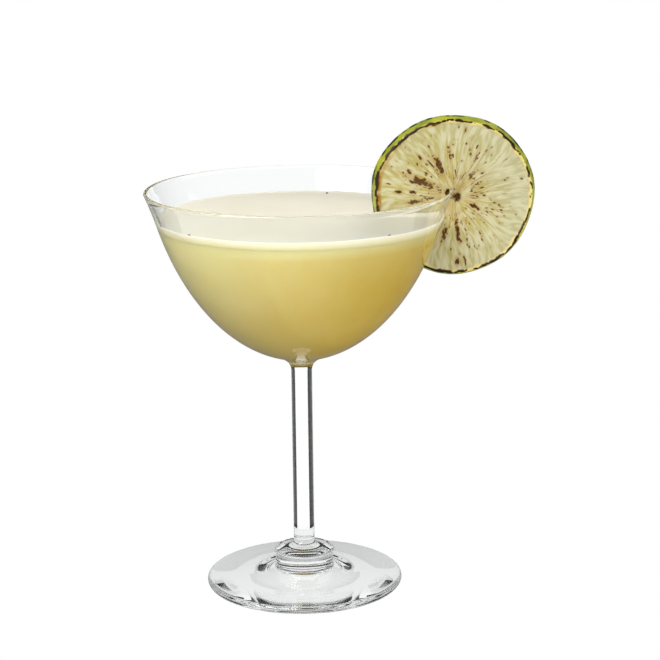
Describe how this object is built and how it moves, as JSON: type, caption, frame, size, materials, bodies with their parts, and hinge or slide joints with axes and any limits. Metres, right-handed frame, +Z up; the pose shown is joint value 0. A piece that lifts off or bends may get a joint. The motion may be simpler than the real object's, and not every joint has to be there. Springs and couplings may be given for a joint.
{
  "type": "margarita cocktail in a stemmed glass",
  "caption": "Cloudy yellow cocktail with a thin head of foam in a stemmed coupe glass, with a charred lime wheel slit onto the rim.",
  "frame": {"origin": "middle of the foot's flat underside, on the axis of the glass", "axes": "+Z up the stem; the lime wheel is on the +X side of the rim, with its faces across Y"},
  "size_m": [0.1236, 0.098, 0.1536],
  "materials": {
    "glass": "clear polished soda-lime glass",
    "drink": "cloudy pale yellow liquid",
    "foam": "fine off-white foam",
    "lime": "charred lime flesh and rind"
  },
  "bodies": {
    "root": {"glass": "glass", "drink": "drink", "foam": "foam", "lime_wheel": "lime"}
  },
  "joints": []
}
